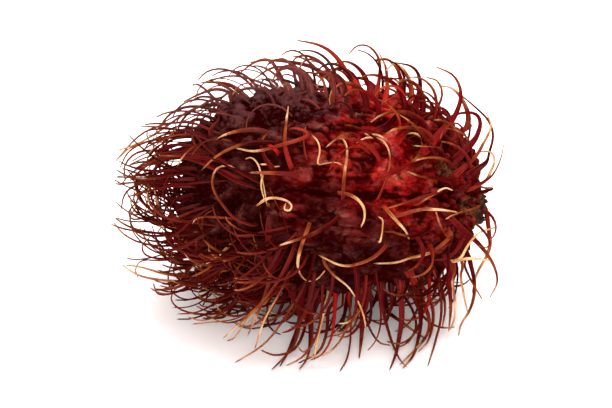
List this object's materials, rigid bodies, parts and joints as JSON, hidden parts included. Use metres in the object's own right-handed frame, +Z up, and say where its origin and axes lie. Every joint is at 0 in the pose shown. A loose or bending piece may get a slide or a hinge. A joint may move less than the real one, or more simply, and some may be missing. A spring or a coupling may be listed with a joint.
{
  "type": "rambutan fruit",
  "caption": "Whole ripe rambutan lying on its side: an egg-shaped dark red rind covered in long soft curling spines, with the scar and stub of its stalk at one end.",
  "frame": {"origin": "on the table, under the middle of the fruit's bounding box", "axes": "+X along the fruit's long axis to the stalk end, +Z up, -Y to the side whose seam faces the viewer"},
  "size_m": [0.071, 0.0578, 0.0508],
  "materials": {
    "rind": "drying leathery fruit skin, satin, crimson at the stalk end and maroon at the blossom end",
    "stem": "dry dark woody stub, matt"
  },
  "bodies": {
    "root": {"rind": "rind", "stem_stub": "stem"}
  },
  "joints": []
}
